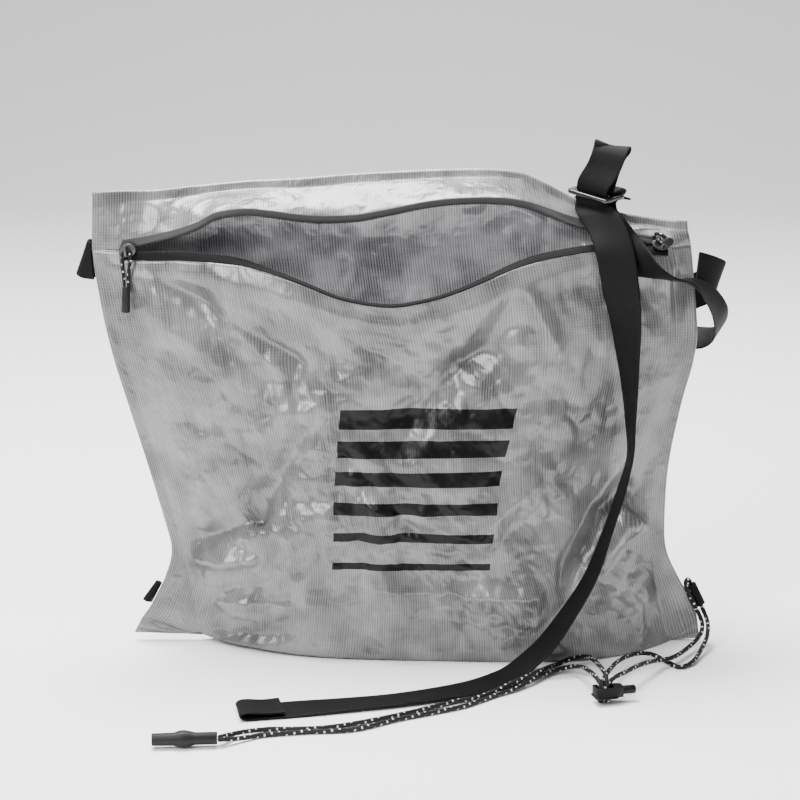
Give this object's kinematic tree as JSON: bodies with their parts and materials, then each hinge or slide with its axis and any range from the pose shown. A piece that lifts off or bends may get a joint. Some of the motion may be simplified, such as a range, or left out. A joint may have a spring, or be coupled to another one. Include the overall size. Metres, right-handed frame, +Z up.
{
  "type": "cycling musette bag",
  "caption": "Slouched flat shoulder bag in crinkled grey laminate, with an open zip along its top, a black webbing strap let down in front and an elastic cord with a push-button lock.",
  "frame": {"origin": "on the floor under the middle of the bag, in the plane of its side seams", "axes": "+X to the right of the front view along the bag's width, -Y to the front, +Z up"},
  "size_m": [0.4338, 0.2513, 0.3414],
  "materials": {
    "laminate": "satin",
    "coated_tape": "matte",
    "black_webbing": "matte",
    "black_gloss": "gloss",
    "black_matte": "matte",
    "flecked_cord": "matte",
    "grey_rubber": "matte"
  },
  "bodies": {
    "bag": {"front_panel": "laminate", "back_panel": "laminate", "top_panel": "laminate", "zip_tape_upper": "coated_tape", "zip_tape_lower": "coated_tape", "slider_left": "black_gloss", "slider_right": "black_gloss", "pull_cord_left": "flecked_cord", "pull_cord_right": "flecked_cord", "pull_sleeve_left": "grey_rubber", "pull_sleeve_right": "grey_rubber", "strap_long": "black_webbing", "strap_short": "black_webbing", "strap_adjuster": "black_gloss", "corner_tab_left": "black_webbing", "corner_tab_right": "black_webbing", "cord_turn": "flecked_cord", "cord_tab_a": "flecked_cord", "cord_tab_b": "flecked_cord", "cord_bight_a": "flecked_cord", "cord_bight_b": "flecked_cord", "cord_tail_a": "flecked_cord", "cord_tail_b": "flecked_cord", "cord_lock_body": "black_matte", "cord_end_sleeve": "grey_rubber"},
    "lock_button": {"cord_lock_button": "black_matte"}
  },
  "joints": [
    {"name": "lock_press", "type": "slide", "parent": "bag", "child": "lock_button", "axis": [-0.9659, -0.2588, 0], "range_m": [0, 0.0022], "stiffness_N_per_m": 300}
  ]
}
